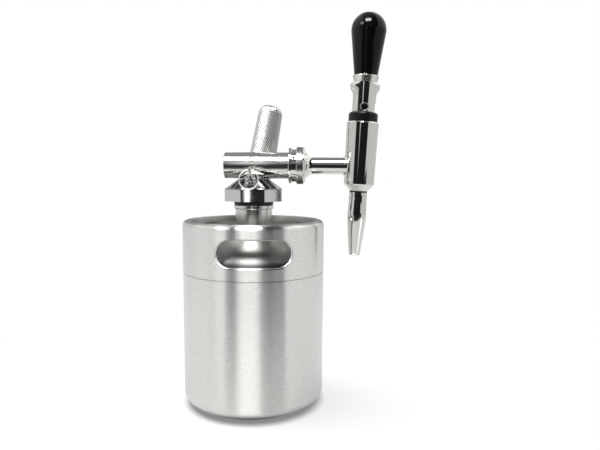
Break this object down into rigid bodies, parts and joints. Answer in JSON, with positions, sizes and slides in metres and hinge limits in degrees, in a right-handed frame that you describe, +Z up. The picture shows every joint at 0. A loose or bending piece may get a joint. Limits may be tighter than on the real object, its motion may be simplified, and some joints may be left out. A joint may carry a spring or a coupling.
{
  "type": "beverage keg dispenser",
  "caption": "Small brushed-steel drink keg with hand holes, a screwed-in dispenser head, gas charger, relief valve and a stout tap on a side arm.",
  "frame": {"origin": "centre of the circle on which the keg's foot stands", "axes": "+Z up along the keg, +X from the keg to the tap, -Y to the front where the relief valve is"},
  "size_m": [0.1843, 0.13, 0.3564],
  "materials": {
    "keg_steel": "fine horizontal brushing",
    "polished_steel": "polished",
    "tube_steel": "brushed lengthwise, satin",
    "food_rubber": "matt black",
    "holder_aluminium": "bright, diagonal knurl",
    "black_plastic": "black, soft gloss",
    "black_steel": "black oxide",
    "spring_steel": "drawn wire",
    "cartridge_steel": "zinc plated, satin"
  },
  "bodies": {
    "keg": {"lower_shell": "keg_steel", "foot_ring": "keg_steel", "shoulder_dome": "keg_steel", "top_skirt": "keg_steel"},
    "gasket": {"neck_gasket": "food_rubber"},
    "head": {"head_body": "polished_steel", "body_tube": "tube_steel", "tube_plug": "tube_steel", "dip_tube": "polished_steel", "dip_tube_ring": "food_rubber", "relief_body": "polished_steel", "relief_spring": "spring_steel", "gas_port": "polished_steel", "check_spring": "spring_steel", "piercing_pin": "polished_steel", "port_seal": "food_rubber", "shank_seal": "food_rubber", "faucet_body": "polished_steel", "bonnet_barrel": "polished_steel", "spout": "polished_steel", "spout_ring": "food_rubber", "restrictor_disc": "polished_steel", "bonnet_collar": "black_plastic", "shaft_ring": "food_rubber"},
    "relief_stem": {"relief_stem": "polished_steel", "relief_seal": "food_rubber"},
    "pull_ring": {"pull_ring": "polished_steel"},
    "cartridge": {"gas_cartridge": "cartridge_steel"},
    "holder": {"charger_holder": "holder_aluminium"},
    "check_ball": {"check_ball": "spring_steel"},
    "coupling": {"coupling_nut": "polished_steel"},
    "shaft": {"valve_shaft": "polished_steel", "seat_seal": "food_rubber"},
    "lever": {"lever_sleeve": "polished_steel", "pivot_screw": "black_steel"},
    "ferrule": {"ferrule": "polished_steel"},
    "knob": {"tap_knob": "black_plastic", "knob_stud": "polished_steel"}
  },
  "joints": [
    {"name": "head_lift", "type": "slide", "parent": "keg", "child": "gasket", "axis": [0, 0, 1], "range_m": [0, 0.18]},
    {"name": "head_turn", "type": "hinge", "parent": "gasket", "child": "head", "pos_m": [0, 0, 0.187], "axis": [0, 0, 1], "continuous": true},
    {"name": "relief_pull", "type": "slide", "parent": "head", "child": "relief_stem", "axis": [0, -0.6428, 0.766], "range_m": [0, 0.003], "stiffness_N_per_m": 1500, "springref_m": -0.003, "deforming": ["relief_spring"]},
    {"name": "ring_swing", "type": "hinge", "parent": "relief_stem", "child": "pull_ring", "pos_m": [0, -0.02871, 0.21541], "axis": [-1, 0, 0], "range_deg": [-4, 140]},
    {"name": "charger_slide", "type": "slide", "parent": "head", "child": "cartridge", "axis": [0.1591, 0.1591, 0.9744], "range_m": [0, 0.075]},
    {"name": "charger_turn", "type": "hinge", "parent": "cartridge", "child": "holder", "pos_m": [0.0022, 0.025, 0.211], "axis": [0.1591, 0.1591, 0.9744], "continuous": true},
    {"name": "ball_drop", "type": "slide", "parent": "head", "child": "check_ball", "axis": [-0.1591, -0.1591, -0.9744], "range_m": [0, 0.0012], "stiffness_N_per_m": 100, "springref_m": -0.002, "deforming": ["check_spring"]},
    {"name": "coupling_turn", "type": "hinge", "parent": "head", "child": "coupling", "pos_m": [0.04, 0, 0.21995], "axis": [1, 0, 0], "continuous": true},
    {"name": "shaft_lift", "type": "slide", "parent": "head", "child": "shaft", "axis": [0.0506, 0, 0.9987], "range_m": [0, 0.0032]},
    {"name": "lever_pull", "type": "hinge", "parent": "shaft", "child": "lever", "pos_m": [0.10014, 0, 0.27208], "axis": [0, 1, 0], "range_deg": [0, 30]},
    {"name": "ferrule_turn", "type": "hinge", "parent": "lever", "child": "ferrule", "pos_m": [0.10143, 0, 0.29745], "axis": [0.0506, 0, 0.9987], "continuous": true},
    {"name": "knob_turn", "type": "hinge", "parent": "lever", "child": "knob", "pos_m": [0.10205, 0, 0.30984], "axis": [0.0506, 0, 0.9987], "continuous": true}
  ],
  "couplings": [
    {"joint": "shaft_lift", "follows": "lever_pull", "m_per_rad": 0.006}
  ]
}
